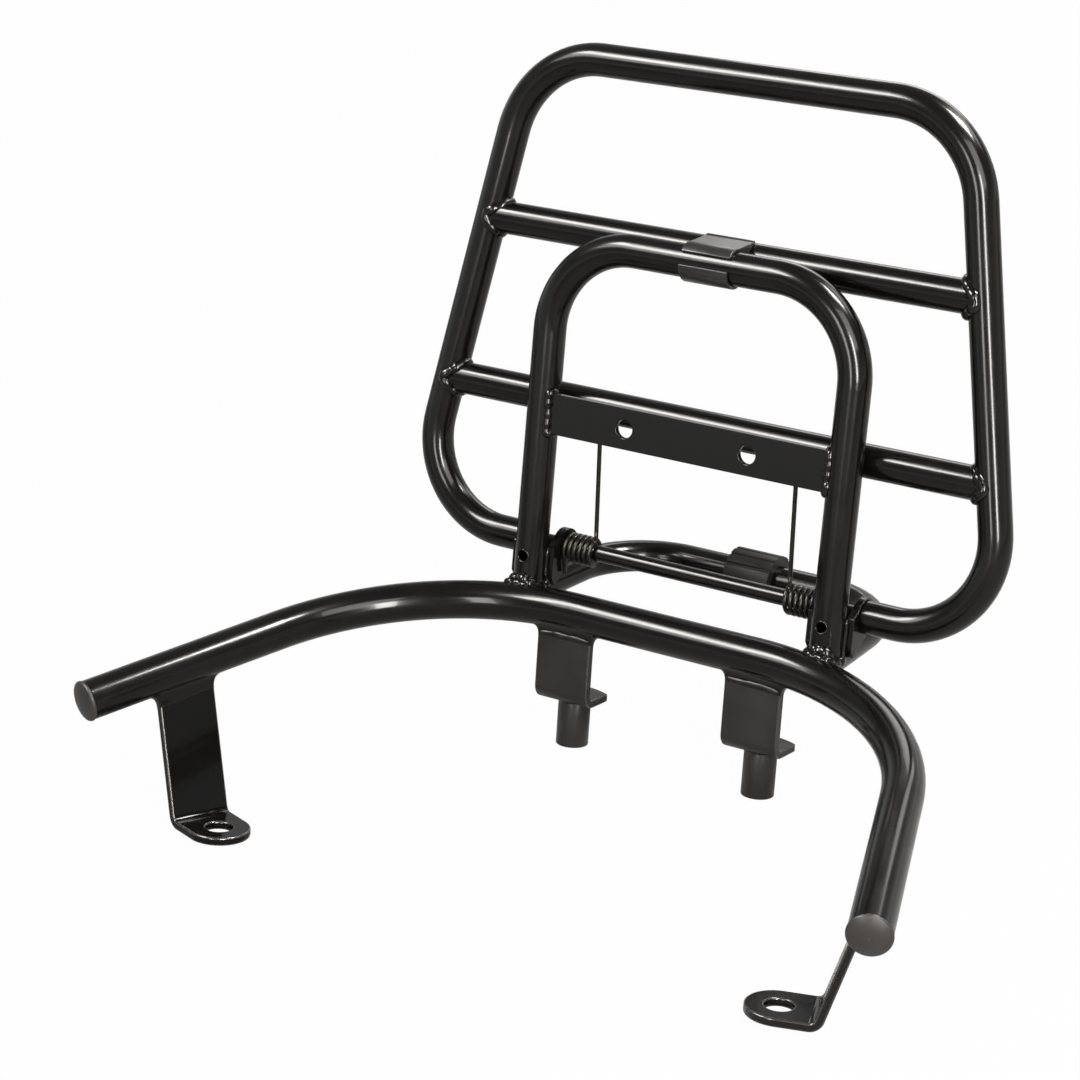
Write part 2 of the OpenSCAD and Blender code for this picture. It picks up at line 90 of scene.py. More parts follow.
# Rear loop
LOOP_CORNER_X = 78.02
LOOP_TURN = 87.151
LOOP_LENGTH = 90.0
LOOP_FALL = 7.5
LOOP_RISE = 2.8
PAD_BEHIND = 13.0

# Hinge and springs
HINGE_Z = 19.5
HINGE_BEHIND = 14.2
HINGE_Y = (HOOP_BACK + HINGE_Z * math.tan(math.radians(HOOP_LEAN))
           + HINGE_BEHIND / math.cos(math.radians(HOOP_LEAN)))
EAR_T = 4.0
EAR_INNER_X = HOOP_X - TUBE_R - EAR_T
WIRE_R = 1.1
COIL_R = 6.5
COIL_LENGTH = 15.0
COIL_TURNS = 5.25
SPRING_GAP = 0.5
HOOK_DOWN = HINGE_Z - LOOP_RISE - TUBE_R + 2 * WIRE_R

# Platform
PLATFORM_LEAN = 15.6
PLATFORM_SLOPE = 10.691
PLATFORM_LOW_X = 162.48
PLATFORM_LENGTH = 237.0
LOWER_BAR = 72.4
UPPER_BAR = 155.0

# Brackets, in the mounts' frame, which is level while the rail is pitched
PITCH = 12.0
BAR_T = 4.0
BAR_W = 30.0
BAR_BEND_R = 3.0
FOOT_X = 151.0
FOOT_AHEAD = 143.5
FOOT_REACH = 18.0
FOOT_REAR = (-FOOT_AHEAD + BAR_W / 2 * math.sin(math.radians(RAIL_TURN))
             + (FOOT_REACH - BAR_BEND_R) * math.cos(math.radians(RAIL_TURN)))
FOOT_SOLE = (-RAIL_HEIGHT + FOOT_REAR * math.sin(math.radians(PITCH))) / math.cos(math.radians(PITCH))
SPACER_X = 52.5
SPACER_R = 8.0
SPACER_BEHIND = 9.0
FLANGE_DOWN = 46.5
REAR_AHEAD = 12.3

# The row frame's origin is the middle of the footprint, on the surface that the rack stands on.
BACK_TIP = LOOP_LENGTH * math.cos(math.radians(LOOP_FALL)) + PAD_BEHIND
FRONT_TIP = -(CAP_TIP - DOME_R) * math.sin(math.radians(RAIL_TURN)) - DOME_R
SHIFT = Vector((0, -(FRONT_TIP + BACK_TIP) / 2, RAIL_HEIGHT))


def world(p):
    """A point of the rail's frame in millimetres, as a point of the row frame in metres."""
    return (Vector(p) + SHIFT) * MM


def leaned(y, z, angle):
    """Turns a point of the YZ plane about X, +Z towards +Y."""
    a = math.radians(angle)
    return y * math.cos(a) + z * math.sin(a), z * math.cos(a) - y * math.sin(a)


def hoop_point(x, up, out=0.0):
    """A point in the hoop's plane, up along its legs from the rail, and out ahead of that plane."""
    y, z = leaned(-out, up, HOOP_LEAN)
    return Vector((x, HOOP_BACK + y, z))


def platform_point(x, up, out=0.0):
    """A point in the raised platform's plane, up from the hinge, and out ahead of that plane."""
    y, z = leaned(-out, up, PLATFORM_LEAN)
    return Vector((x, HINGE_Y + y, HINGE_Z + z))


def mounted(v):
    """A point or direction of the mounts' frame, in the rail's frame."""
    return Vector((v.x, *leaned(v.y, v.z, PITCH)))


def unmounted(v):
    """A point or direction of the rail's frame, in the mounts' frame."""
    return Vector((v.x, *leaned(v.y, v.z, -PITCH)))


# Materials

# Soft patches over a surface: how fine they are, the part of the noise that counts, and the shares
# of the roughness that it runs between.
PATCH_SCALE = 60.0
PATCH_DETAIL = 4.0
PATCH_RANGE = (0.3, 0.7)
ROUGH_RANGE = (0.85, 1.2)
GRAIN_DETAIL = 2.0


def set_inputs(node, values):
    for name, value in values.items():
        node.inputs[name].default_value = value


def new_node(tree, kind, values=None, operation=None):
    """A new node with values for its inputs, by name, and for a Math node its operation."""
    node = tree.nodes.new(kind)
    if operation:
        node.operation = operation
    set_inputs(node, values or {})
    return node


def material(name, base, rough, metallic=0.0, coat=0.0, coat_rough=0.05, specular=0.5,
             bump=0.0, bump_size=0.002, fine=0.0, fine_size=0.0004, vary=0.15, stretch=(1.0, 1.0, 1.0)):
    """A Principled material: colour and roughness vary a little, and two bumps, coarse and fine.
    A stretch below 1 draws the bumps out along that axis."""
    m = bpy.data.materials.new(name)
    m.use_nodes = True
    tree = m.node_tree
    link = tree.links.new
    shader = tree.nodes["Principled BSDF"]
    set_inputs(shader, {"Metallic": metallic, "Coat Weight": coat, "Coat Roughness": coat_rough,
                        "Specular IOR Level": specular})
    where = new_node(tree, "ShaderNodeTexCoord")
    patches = new_node(tree, "ShaderNodeTexNoise", {"Scale": PATCH_SCALE, "Detail": PATCH_DETAIL})
    link(where.outputs["Object"], patches.inputs["Vector"])
    ramp = new_node(tree, "ShaderNodeValToRGB")
    for stop, place, share in zip(ramp.color_ramp.elements, PATCH_RANGE, (1 - vary, 1 + vary)):
        stop.position = place
        stop.color = [c * share for c in base] + [1]
    link(patches.outputs["Fac"], ramp.inputs["Fac"])
    link(ramp.outputs["Color"], shader.inputs["Base Color"])
    spread = new_node(tree, "ShaderNodeMapRange", {
        "From Min": PATCH_RANGE[0], "From Max": PATCH_RANGE[1],
        "To Min": rough * ROUGH_RANGE[0], "To Max": rough * ROUGH_RANGE[1]})
    link(patches.outputs["Fac"], spread.inputs["Value"])
    link(spread.outputs["Result"], shader.inputs["Roughness"])
    drawn = new_node(tree, "ShaderNodeMapping", {"Scale": stretch})
    link(where.outputs["Object"], drawn.inputs["Vector"])
    last = None
    for height, size in ((bump, bump_size), (fine, fine_size)):
        if not height:
            continue
        grain = new_node(tree, "ShaderNodeTexNoise", {"Scale": 1.0 / size, "Detail": GRAIN_DETAIL})
        link(drawn.outputs["Vector"], grain.inputs["Vector"])
        relief = new_node(tree, "ShaderNodeBump", {"Strength": 1.0, "Distance": height})
        link(grain.outputs["Fac"], relief.inputs["Height"])
        if last:
            link(last.outputs["Normal"], relief.inputs["Normal"])
        last = relief
    if last:
        link(last.outputs["Normal"], shader.inputs["Normal"])
    return m


PAINT = material("gloss_black_paint", (0.0055, 0.0046, 0.0038), 0.2, coat=0.18, coat_rough=0.04,
                 specular=0.2, bump=0.00003, bump_size=0.004)
SIDE_PAINT = material("side_bracket_paint", (0.0046, 0.0040, 0.0036), 0.14, coat=0.14, coat_rough=0.04,
                      specular=0.12, bump=0.00003, bump_size=0.004)
# The right side bracket's paint is a lighter copy of the left one's: painted light on the faces that
# catch the lamps.
LIT_COPY_SIDE_PAINT = material("right_bracket_lit_copy_paint", (0.0080, 0.0066, 0.0058), 0.17, coat=0.16, coat_rough=0.05,
                      specular=0.3, bump=0.00003, bump_size=0.004)
# Lighter, glossier paint for the brackets' bevelled edges: a painted highlight along them.
EDGE_HIGHLIGHT_PAINT = material("bracket_edge_painted_highlight", (0.047, 0.039, 0.034), 0.24, coat=0.4, coat_rough=0.06,
                     specular=0.6, bump=0.00004, bump_size=0.0025, vary=0.4)
FLAT_PAINT = material("rear_bracket_paint", (0.0122, 0.0092, 0.0072), 0.4, specular=0.46,
                      bump=0.00003, bump_size=0.003, fine=0.00001, fine_size=0.0005)
SPACER_PAINT = material("spacer_paint", (0.0165, 0.0130, 0.0100), 0.32, specular=0.5, bump=0.00006,
                        bump_size=0.0012, stretch=(1.0, 1.0, 0.04))
WELD_PAINT = material("weld_paint", (0.0055, 0.0046, 0.0038), 0.16, coat=0.25, coat_rough=0.04,
                      specular=0.25, bump=0.00006, bump_size=0.005)
ROD_PAINT = material("rod_paint", (0.0095, 0.0072, 0.0056), 0.2, coat=0.1, specular=0.25,
                     bump=0.00001, bump_size=0.002)
SPRING_STEEL = material("spring_wire", (0.026, 0.023, 0.017), 0.24, metallic=0.4, coat=0.1, specular=0.3,
                        bump=0.00002, bump_size=0.001)
CAP_PLASTIC = material("cap_plastic", (0.055, 0.048, 0.044), 0.42, specular=0.4,
                       bump=0.00002, bump_size=0.0012, fine=0.00001, fine_size=0.0003)
PAD_RUBBER = material("pad_rubber", (0.0115, 0.0098, 0.0090), 0.5, specular=0.3,
                      bump=0.00003, bump_size=0.0015, fine=0.00001, fine_size=0.0004)
CLIP_PLASTIC = material("clip_plastic", (0.030, 0.028, 0.027), 0.32, specular=0.5,
                        bump=0.00002, bump_size=0.002, fine=0.00001, fine_size=0.0004)

# CAD nodes: what each is made of, where it isn't plain paint (for the right side bracket a lighter copy
# of the paint, which is painted light), and the width of its softened edges

FINISH = {
    "end_cap_left": CAP_PLASTIC, "end_cap_right": CAP_PLASTIC, "hinge_rod": ROD_PAINT,
    "hinge_bush_left": ROD_PAINT, "hinge_bush_right": ROD_PAINT, "rest_pad": PAD_RUBBER,
    "retaining_clip": CLIP_PLASTIC, "side_bracket_left": SIDE_PAINT, "side_bracket_right": LIT_COPY_SIDE_PAINT,
    "rear_bracket_left": FLAT_PAINT, "rear_bracket_right": FLAT_PAINT, "rear_spacer_left": SPACER_PAINT,
    "rear_spacer_right": SPACER_PAINT,
}
EDGE = {
    "end_cap_left": 1.0, "end_cap_right": 1.0, "rest_pad": 0.6, "retaining_clip": 0.5,
    "side_bracket_left": 0.8, "side_bracket_right": 0.8, "rear_bracket_left": 0.7,
    "rear_bracket_right": 0.7, "rear_spacer_left": 0.4, "rear_spacer_right": 0.4,
    "cross_plate": 0.5, "inner_ear_left": 0.5, "inner_ear_right": 0.5, "outer_ear_left": 0.5,
    "outer_ear_right": 0.5,
}
# These keep the full width, which Blender would cut down for all of a node's edges at its shortest one.
WIDE_EDGE = {"side_bracket_left", "side_bracket_right", "rear_bracket_left", "rear_bracket_right",
             "cross_plate", "outer_ear_left", "outer_ear_right"}
JOIN_WITHIN = 0.001
FLAT_WITHIN = 0.5
SHARP_FROM = 38
EDGE_STEPS = 3


def soften(obj, width, clamped):
    """Rounds a CAD node's sharp edges. Its mesh comes split along the borders of its faces and cut into
    thin triangles, so points are joined and flat faces merged first, or the bevel finds no edge."""
    joined = obj.modifiers.new("joined", "WELD")
    joined.merge_threshold = JOIN_WITHIN * MM
    flat = obj.modifiers.new("flat", "DECIMATE")
    flat.decimate_type = "DISSOLVE"
    flat.angle_limit = math.radians(FLAT_WITHIN)
    edge = obj.modifiers.new("edge", "BEVEL")
    edge.width = width * MM
    edge.segments = EDGE_STEPS
    edge.limit_method = "ANGLE"
    edge.angle_limit = math.radians(SHARP_FROM)
    edge.harden_normals = True
    edge.use_clamp_overlap = clamped
    return edge


for name, obj in NODES.items():
    obj.data.materials.clear()
    obj.data.materials.append(FINISH.get(name, PAINT))
    if name in EDGE:
        rounded = soften(obj, EDGE[name], name not in WIDE_EDGE)
        if "bracket" in name:
            # The cut edges of the flat bar get a lighter, glossier paint than its faces: a painted
            # highlight.
            obj.data.materials.append(EDGE_HIGHLIGHT_PAINT)
            rounded.material = 1


# Meshes

def piece(name, verts, faces, finish, body):
    """A smooth mesh object of one material. It rides on a body, unless that is left to the caller."""
    mesh = bpy.data.meshes.new(name)
    mesh.from_pydata([tuple(v) for v in verts], [], faces)
    mesh.validate()
    obj = bpy.data.objects.new(name, mesh)
    bpy.context.collection.objects.link(obj)
    mesh.materials.append(finish)
    for poly in mesh.polygons:
        poly.use_smooth = True
    bm = bmesh.new()
    bm.from_mesh(mesh)
    bmesh.ops.recalc_face_normals(bm, faces=bm.faces)
    bm.to_mesh(mesh)
    bm.free()
    if body:
        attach(obj, body)
    return obj


def path_frames(path, closed):
    """At each point of a path: its direction, and two directions across it that turn with it."""
    n = len(path)
    frames = []
    for i in range(n):
        if closed:
            t = (path[(i + 1) % n] - path[i - 1]).normalized()
        else:
            t = (path[min(i + 1, n - 1)] - path[max(i - 1, 0)]).normalized()
        if frames:
            u = frames[-1][1] - t * frames[-1][1].dot(t)
            u.normalize()
        else:
            u = t.orthogonal().normalized()
        frames.append((t, u, t.cross(u)))
    return frames


def sweep(path, radius, sides, closed=False):
    """Vertices and faces of a tube along a path; radius is a function of the point's number."""
    n = len(path)
    frames = path_frames(path, closed)
    twist = 0.0
    if closed:
        # What the frames have turned by at the end is spread over the whole path.
        t, u, v = frames[0]
        last = frames[-1][1] - t * frames[-1][1].dot(t)
        twist = math.atan2(last.dot(v), last.dot(u))
    verts, faces = [], []
    for i, (t, u, v) in enumerate(frames):
        r = radius(i)
        off = -twist * i / n
        for j in range(sides):
            a = 2 * math.pi * j / sides + off
            verts.append(path[i] + (u * math.cos(a) + v * math.sin(a)) * r)
    for i in range(n if closed else n - 1):
        k = (i + 1) % n
        for j in range(sides):
            m = (j + 1) % sides
            faces.append((i * sides + j, i * sides + m, k * sides + m, k * sides + j))
    if not closed:
        faces.append(tuple(range(sides))[::-1])
        faces.append(tuple((n - 1) * sides + j for j in range(sides)))
    return verts, faces


def ring(centre, d, r, count=96):
    """A circle round a direction."""
    u = d.orthogonal().normalized()
    v = d.cross(u)
    return [centre + (u * math.cos(2 * math.pi * i / count) + v * math.sin(2 * math.pi * i / count)) * r
            for i in range(count)]


def box_ring(centre, across, thick, width, depth, corner=1.2, count=10):
    """A rounded rectangle: width along one direction and depth along the other."""
    out = []
    for sx, sy, start in ((1, 1, 0), (-1, 1, 90), (-1, -1, 180), (1, -1, 270)):
        for i in range(count + 1):
            a = math.radians(start + 90 * i / count)
            out.append(centre + across * (sx * (width / 2 - corner) + corner * math.cos(a))
                       + thick * (sy * (depth / 2 - corner) + corner * math.sin(a)))
    return out


# Tubes that welds lie on, each as a point on its axis, its direction and its radius

def rail_here(x):
    """The rail as a straight tube near x, on its back or its bends."""
    s = 1 if x > 0 else -1
    beyond = max(0.0, abs(x) - RAIL_STRAIGHT)
    a = math.asin(min(1.0, beyond / RAIL_BEND_R))
    if beyond:
        at = Vector((s * (RAIL_STRAIGHT + beyond), -RAIL_BEND_R * (1 - math.cos(a)), 0))
    else:
        at = Vector((x, 0, 0))
    return at, Vector((s * math.cos(a), -math.sin(a), 0)), RAIL_R


def rail_arm(s):
    a = math.radians(RAIL_TURN)
    return Vector((s * RAIL_CORNER, 0, 0)), Vector((s * math.cos(a), -math.sin(a), 0)), RAIL_R


def loop_arm(s):
    y, z = leaned(LOOP_LENGTH, 0, LOOP_FALL)
    top = Vector((s * LOOP_CORNER_X, y, LOOP_RISE + z))
    root_x = LOOP_CORNER_X + LOOP_LENGTH / math.tan(math.radians(LOOP_TURN))
    root = Vector((s * root_x, 0, LOOP_RISE))
    return root, (top - root).normalized(), TUBE_R


def hoop_leg(s):
    return hoop_point(s * HOOP_X, 0), (hoop_point(0, 1) - hoop_point(0, 0)).normalized(), TUBE_R


def platform_side(s):
    foot = platform_point(s * PLATFORM_LOW_X, 0)
    head_x = PLATFORM_LOW_X - PLATFORM_LENGTH * math.tan(math.radians(PLATFORM_SLOPE))
    head = platform_point(s * head_x, PLATFORM_LENGTH)
    return foot, (head - foot).normalized(), TUBE_R


# Below this square of its sideways part, a ray runs along a tube and never meets it.
ALONG = 1e-9


def first_hit(p, d, tubes):
    """The nearest point where a ray meets one of the tubes, from outside."""
    best = None
    for q, e, r in tubes:
        w = p - q
        a, b = d - e * d.dot(e), w - e * w.dot(e)
        aa, ab, bb = a.dot(a), a.dot(b), b.dot(b) - r * r
        disc = ab * ab - aa * bb
        if aa < ALONG or disc < 0:
            continue
        t = (-ab - math.sqrt(disc)) / aa
        if best is None or t < best:
            best = t
    return None if best is None else p + d * best


def landed(contour, d, tubes):
    """The line that a contour draws on the tubes when it is moved along a direction."""
    return [h for h in (first_hit(p, d, tubes) for p in contour) if h is not None]


# Weld beads. One wanders off its line and swells by shares of its radius, at scales per millimetre,
# and tapers over so many radii towards an open end.
BEAD_STEP = 0.45
BEAD_SIDES = 12
FEWEST_POINTS = 8
WANDER, WANDER_SCALE, WANDER_SEED = 0.3, 0.16, (3.1, 7.7)
SWELL, SWELL_SCALE, SWELL_SEED, SWELL_SHIFT = 0.22, 0.22, (0, 1.3), 1.7
TAPER_FROM, TAPER_OVER = 0.25, 1.6


def evened(path, step, closed=True):
    """The path again, with points a step apart."""
    pts = path + [path[0]] if closed else path
    lengths = [0.0]
    for a, b in zip(pts, pts[1:]):
        lengths.append(lengths[-1] + (b - a).length)
    count = max(FEWEST_POINTS, int(lengths[-1] / step))
    out, k = [], 0
    for i in range(count if closed else count + 1):
        want = lengths[-1] * i / count
        while k < len(lengths) - 2 and lengths[k + 1] < want:
            k += 1
        span = lengths[k + 1] - lengths[k]
        f = (want - lengths[k]) / span if span else 0.0
        out.append(pts[k].lerp(pts[k + 1], f))
    return out


def relaxed(path, times):
    """A closed path with its corners rounded."""
    for _ in range(times):
        n = len(path)
        path = [(path[i - 1] + path[i] * 2 + path[(i + 1) % n]) / 4 for i in range(n)]
    return path


def bead(name, path, radius, body, closed=True, ripple=0.26, pitch=5.0, seed=0.0, rounding=0,
         finish=WELD_PAINT):
    """A weld bead along a path in the rail's frame: rippled, a little uneven in width and line."""
    path = relaxed(evened(path, BEAD_STEP, closed), rounding)
    n = len(path)
    moved = []
    for p in path:
        drift = noise.noise_vector(p * WANDER_SCALE + Vector((seed, *WANDER_SEED)))
        moved.append(p + drift * radius * WANDER)

    def size(i):
        wave = abs(math.sin(math.pi * i * BEAD_STEP / pitch + seed))
        slow = noise.noise(path[i] * SWELL_SCALE + Vector((seed * SWELL_SHIFT, *SWELL_SEED)))
        r = radius * (1 - ripple + ripple * wave + SWELL * slow)
        if not closed:
            end = min(i, n - 1 - i) * BEAD_STEP
            r *= min(1.0, TAPER_FROM + end / (TAPER_OVER * radius))
        return r * MM

    verts, faces = sweep([world(p) for p in moved], size, BEAD_SIDES, closed)
    obj = piece(name, verts, faces, finish, body)
    return obj


# Flares: where a flat bar meets a tube, the weld is ground to a smooth flare and painted over.
FLARE_CORNER = 0.6
FLARE_CORNER_POINTS = 4
FLARE_STEPS = 8
FLARE_SUNK = 0.15
FLARE_PULL = 0.85
FLARE_ROOT = 1.0


def fillet(name, low, across, thick, up, tubes, rise, reach):
    """A flare from a flat bar's four sides out on to the tube above it. It starts a rise below the tube
    and reaches out to the sides, less where the tube curves away. Its first and last rows are sunk."""
    inner = box_ring(low, across, thick, BAR_W, BAR_T, FLARE_CORNER, FLARE_CORNER_POINTS)
    outer = box_ring(low, across, thick, BAR_W + 2 * reach, BAR_T + 2 * reach, reach + FLARE_CORNER,
                     FLARE_CORNER_POINTS)
    rows = []
    for p, q in zip(inner, outer):
        near, far = first_hit(p, up, tubes), first_hit(q, up, tubes)
        side = q - p
        while far is None or (far - near).dot(up) > reach:
            side *= FLARE_PULL
            far = first_hit(p + side, up, tubes)
        start = near - up * rise
        row = [start - side * FLARE_SUNK]
        for k in range(FLARE_STEPS + 1):
            f = k / FLARE_STEPS
            row.append(start.lerp(near, f).lerp(near.lerp(far, f), f))
        row[-1] += up * FLARE_SUNK
        row.append(near + up * FLARE_ROOT - side * FLARE_SUNK)
        rows.append(row)
    n, m = len(rows), len(rows[0])
    verts = [world(v) for row in rows for v in row]
    faces = [(i * m + j, i * m + (j + 1) % m, (i + 1) % n * m + (j + 1) % m, (i + 1) % n * m + j)
             for i in range(n) for j in range(m)]
    obj = piece(name, verts, faces, PAINT, "frame")
    return obj


# Welds. A contour starts this far from the tube that it lands on, or from the rack's middle.
CONTOUR_FROM = 60
BAR_FROM_X = 90
PLATE_FROM_X = 40
PLATE_PROUD = 0.3
LIP_POINTS = 64
LIP_SUNK = 0.15


def crossbar_welds(side, s):
    """Where the two crossbars end on one side of the platform."""
    out = Vector((s, 0, 0))
    for k, (label, up) in enumerate((("lower", LOWER_BAR), ("upper", UPPER_BAR))):
        contour = ring(platform_point(s * BAR_FROM_X, up), out, TUBE_R)
        bead("weld_%s_bar_%s" % (label, side), landed(contour, out, [platform_side(s)]), 2.9, "platform",
             ripple=0.16, pitch=7.0, seed=k * 2.3 + s, rounding=60)


def hoop_weld(side, s):
    """The hoop's leg on the rail and on the rear loop's arm."""
    foot, up, _ = hoop_leg(s)
    contour = ring(foot + up * CONTOUR_FROM, -up, TUBE_R)
    path = landed(contour, -up, [rail_here(s * HOOP_X), loop_arm(s)])
    bead("weld_hoop_%s" % side, path, 3.1, "frame", ripple=0.34, pitch=6.0, seed=4.0 + s, rounding=20)


def loop_weld(side, s):
    """The rear loop's arm on the rail."""
    root, along, _ = loop_arm(s)
    path = landed(ring(root + along * CONTOUR_FROM, -along, TUBE_R), -along, [rail_here(s * HOOP_X)])
    bead("weld_loop_%s" % side, path, 2.2, "frame", seed=6.0 + s)


def plate_weld(side, s):
    """The cross plate's end on the hoop's leg."""
    _, up, _ = hoop_leg(s)
    ahead = hoop_point(0, 0, 1) - hoop_point(0, 0)
    centre = hoop_point(s * PLATE_FROM_X, PLATE_UP, PLATE_FRONT - PLATE_T / 2)
    contour = box_ring(centre, up, ahead, PLATE_H + 2 * PLATE_PROUD, PLATE_T + 2 * PLATE_PROUD)
    bead("weld_plate_%s" % side, landed(contour, Vector((s, 0, 0)), [hoop_leg(s)]), 2.3, "frame",
         seed=8.0 + s)


def vent_lip(side, s):
    """The rolled lip round the vent hole in the hoop's leg."""
    lip = []
    for k in range(LIP_POINTS):
        a = 2 * math.pi * k / LIP_POINTS
        x = VENT_R * math.cos(a)
        out = math.sqrt(TUBE_R ** 2 - x * x) - LIP_SUNK
        lip.append(hoop_point(s * HOOP_X + x, VENT_UP + VENT_R * math.sin(a), out))
    bead("vent_lip_%s" % side, lip, 0.55, "frame", ripple=0.05, seed=9.0 + s, finish=PAINT)


# Brackets: where a flare's lines start below the arm and the rail, the two places across the rail
# that it is taken as straight at, and half the length of the ridge, how low it lies and how far out.
LEG_BELOW = 30
REAR_PLATE_DOWN = 26
RAIL_SPOTS = (50, 66)
RIDGE_HALF = 14
RIDGE_DOWN = 3.0
RIDGE_PROUD = 0.2


def side_bracket_flare(side, s):
    """The side bracket's leg under the rail's arm. The leg leans, because it runs from its bend, a
    reach in from the foot's hole, to the arm's centreline above."""
    yaw = math.radians(90 - RAIL_TURN)
    width = Vector((-s * math.sin(yaw), math.cos(yaw), 0))
    inward = Vector((-s * math.cos(yaw), -math.sin(yaw), 0))
    hole = Vector((s * FOOT_X, -FOOT_AHEAD, FOOT_SOLE + BAR_T))
    corner, along, _ = rail_arm(s)
    arm = unmounted(along)
    at = Vector((corner.x, 0, 0))
    top = at + arm * ((hole - at).dot(width) / arm.dot(width))
    leg_in = (top - hole).dot(inward)
    leg_up = top.z - hole.z + BAR_T / 2
    lean = math.atan2(-leg_in - FOOT_REACH, leg_up)
    up = (Vector((0, 0, 1)) * math.cos(lean) - inward * math.sin(lean)).normalized()
    thick = width.cross(up).normalized()
    low = top - up * LEG_BELOW
    fillet("weld_side_%s" % side, mounted(low), mounted(width), mounted(thick), mounted(up),
           [rail_arm(s)], rise=6.0, reach=4.5)


def rear_bracket_welds(side, s):
    """The rear bracket's plate under the rail: a flare, and on its front a low ridge of weld."""
    up = mounted(Vector((0, 0, 1)))
    ahead = mounted(Vector((0, -1, 0)))
    low = Vector((s * SPACER_X, SPACER_BEHIND - REAR_AHEAD, -REAR_PLATE_DOWN))
    rail = [rail_here(s * x) for x in RAIL_SPOTS]
    fillet("weld_rear_%s" % side, mounted(low), Vector((1, 0, 0)), mounted(Vector((0, 1, 0))), up, rail,
           rise=5.0, reach=4.0)
    line = [mounted(low + Vector((x, -BAR_T / 2, 0))) for x in range(-RIDGE_HALF, RIDGE_HALF + 1)]
    ridge = [h - up * RIDGE_DOWN + ahead * RIDGE_PROUD for h in landed(line, up, rail)]
    bead("weld_ridge_%s" % side, ridge, 1.1, "frame", closed=False, ripple=0.3, pitch=9.0, seed=14.0 + s,
         finish=FLAT_PAINT)


def spacer_weld(side, s):
    """The spacer under the rear bracket's flange."""
    centre = Vector((s * SPACER_X, SPACER_BEHIND, -FLANGE_DOWN))
    path = [mounted(p) for p in ring(centre, Vector((0, 0, 1)), SPACER_R)]
    bead("weld_spacer_%s" % side, path, 0.9, "frame", ripple=0.1, seed=15.0 + s)


# Each bead of an ear: its name, how far from the leg's centreline and behind it, and where it starts.
EAR_BEADS = (("front", 8.5, 1.0, 2.0), ("back", 8.1, 3.4, 8.0))
EAR_BEAD_TOP = 24.0
EAR_BEAD_STEPS = 14


def ear_welds(side, s):
    """A bead down each ear's front edge, and one where its face leaves the leg behind."""
    for kind, way in (("inner", -1), ("outer", 1)):
        for tag, beside, behind, low in EAR_BEADS:
            path = [hoop_point(s * (HOOP_X + way * beside),
                               low + (EAR_BEAD_TOP - low) * k / EAR_BEAD_STEPS, -behind)
                    for k in range(EAR_BEAD_STEPS + 1)]
            bead("weld_ear_%s_%s_%s" % (kind, side, tag), path, 1.2, "frame", closed=False,
                 ripple=0.14, pitch=8.0, seed=17.0 + s - way)


for side, s in SIDES:
    crossbar_welds(side, s)
    hoop_weld(side, s)
    loop_weld(side, s)
    plate_weld(side, s)
    vent_lip(side, s)
for side, s in SIDES:
    side_bracket_flare(side, s)
    rear_bracket_welds(side, s)
    spacer_weld(side, s)
    ear_welds(side, s)


# Springs
STEPS_PER_TURN = 40
ARM_STEPS = 12
HOOK_BEND = 0.55
WIRE_SIDES = 14


def torsion_spring(side, s):
    """A coil round the rod. Its outer end hooks on the rear loop's arm, and its inner end runs
    up to the lower crossbar of the raised platform."""
    start_x = EAR_INNER_X - WIRE_R - SPRING_GAP
    points = [Vector((start_x, -COIL_R, -HOOK_DOWN)), Vector((start_x, -COIL_R, -HOOK_DOWN * HOOK_BEND))]
    for k in range(int(STEPS_PER_TURN * COIL_TURNS) + 1):
        a = math.radians(180 - 360 * k / STEPS_PER_TURN)
        x = start_x - COIL_LENGTH * k / (STEPS_PER_TURN * COIL_TURNS)
        points.append(Vector((x, COIL_R * math.cos(a), COIL_R * math.sin(a))))
    last = points[-1]
    tip = Vector((last.x, *leaned(-(TUBE_R + WIRE_R + SPRING_GAP), LOWER_BAR, PLATFORM_LEAN)))
    for k in range(1, ARM_STEPS + 1):
        points.append(last.lerp(tip, k / ARM_STEPS))
    path = [world(Vector((s * p.x, HINGE_Y + p.y, HINGE_Z + p.z))) for p in points]
    verts, faces = sweep(path, lambda i: WIRE_R * MM, WIRE_SIDES)
    wire = piece("torsion_spring_%s" % side, verts, faces, SPRING_STEEL, None)
    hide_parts("spring_%s" % side)
    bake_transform(wire)


for side, s in SIDES:
    torsion_spring(side, s)


# Stage, lights and camera, in metres and degrees. A place or direction seen from the middle of the
# rack has an azimuth as a camera's: 0 in front, and growing to the right.
MIDDLE = Vector((0.0, 0.02, 0.17))
FLOOR_HALF = 4.0
PAPER_COLOUR = (0.9, 0.9, 0.9, 1)
PAPER_GLOW = 0.98
WHITE = (1, 1, 1, 1)
ROOM_LIGHT = 0.25
SKY_FROM, SKY_TO, SKY_SHARE = 0.02, 0.30, 0.10
CAMERA_PLACE = (0.674252, -1.026943, 0.733192)
CAMERA_AZIMUTH = 34.7898
CAMERA_ELEVATION = 25.6905
CAMERA_ROLL = -3.4081
CAMERA_LENS = 99.669
SENSOR_WIDTH = 36.0
CLIP_END = 50.0

